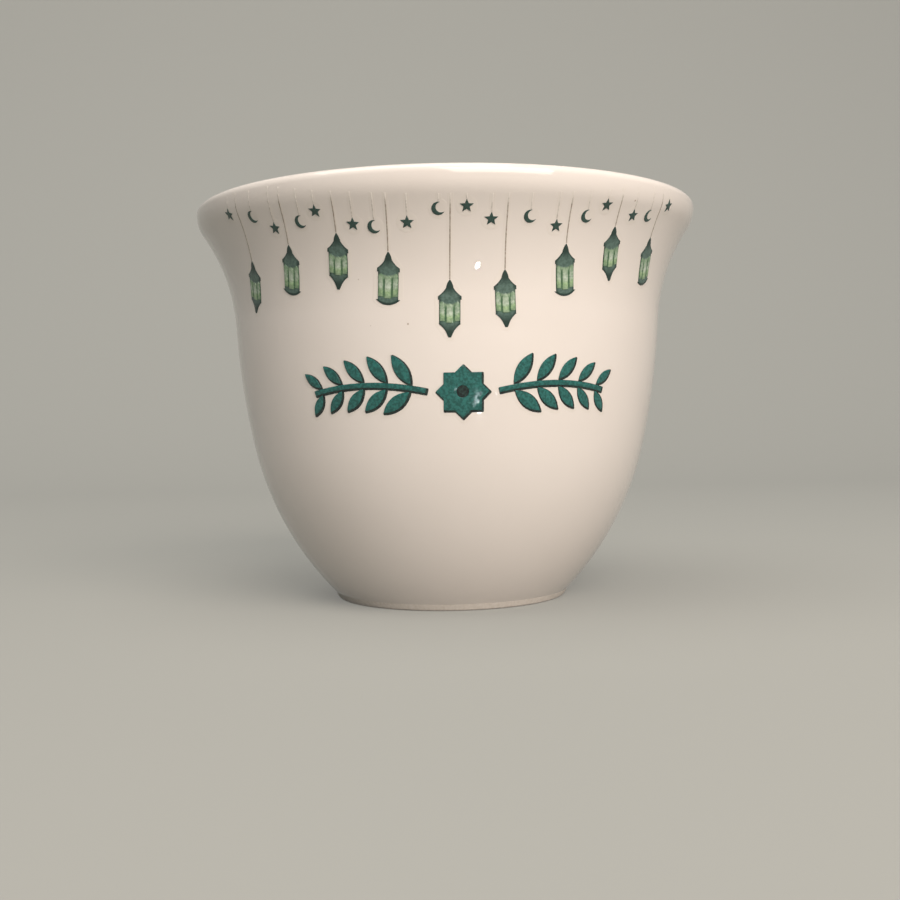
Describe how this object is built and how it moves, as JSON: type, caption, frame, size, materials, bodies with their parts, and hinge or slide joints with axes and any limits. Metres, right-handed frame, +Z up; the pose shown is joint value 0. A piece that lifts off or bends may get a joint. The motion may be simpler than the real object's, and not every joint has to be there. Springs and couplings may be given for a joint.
{
  "type": "coffee cup",
  "caption": "Small handle-less coffee cup with a flared lip, a low foot ring and a raised print of hanging lanterns, stars and crescents above a leaf ornament.",
  "frame": {"origin": "on the cup's axis at the level of the foot, where it stands on the table", "axes": "+Z up along the cup's axis; -Y faces the printed front; +X to the right of the print"},
  "size_m": [0.065, 0.065, 0.0509],
  "materials": {
    "porcelain": "dry fired clay",
    "glaze": "gloss",
    "clear_film": "gloss",
    "green_ink": "gloss",
    "pane_ink": "gloss",
    "thread_ink": "gloss",
    "teal_ink": "gloss",
    "edge_ink": "gloss"
  },
  "bodies": {
    "root": {"clear_film": "clear_film", "crescent_1": "green_ink", "crescent_2": "green_ink", "crescent_3": "green_ink", "crescent_4": "green_ink", "crescent_5": "green_ink", "crescent_6": "green_ink", "crescent_7": "green_ink", "crescent_threads": "thread_ink", "foot_glaze": "glaze", "glaze_coat": "glaze", "lantern_1_frame": "green_ink", "lantern_1_panes": "pane_ink", "lantern_2_frame": "green_ink", "lantern_2_panes": "pane_ink", "lantern_3_frame": "green_ink", "lantern_3_panes": "pane_ink", "lantern_4_frame": "green_ink", "lantern_4_panes": "pane_ink", "lantern_5_frame": "green_ink", "lantern_5_panes": "pane_ink", "lantern_6_frame": "green_ink", "lantern_6_panes": "pane_ink", "lantern_7_frame": "green_ink", "lantern_7_panes": "pane_ink", "lantern_8_frame": "green_ink", "lantern_8_panes": "pane_ink", "lantern_9_frame": "green_ink", "lantern_9_panes": "pane_ink", "lantern_threads": "thread_ink", "left_sprig_edge": "edge_ink", "left_sprig_leaves": "teal_ink", "left_sprig_stem": "teal_ink", "porcelain_body": "porcelain", "right_sprig_edge": "edge_ink", "right_sprig_leaves": "teal_ink", "right_sprig_stem": "teal_ink", "rosette": "teal_ink", "rosette_edge": "edge_ink", "star_1": "green_ink", "star_10": "green_ink", "star_11": "green_ink", "star_2": "green_ink", "star_3": "green_ink", "star_4": "green_ink", "star_5": "green_ink", "star_6": "green_ink", "star_7": "green_ink", "star_8": "green_ink", "star_9": "green_ink", "star_threads": "thread_ink"}
  },
  "joints": []
}
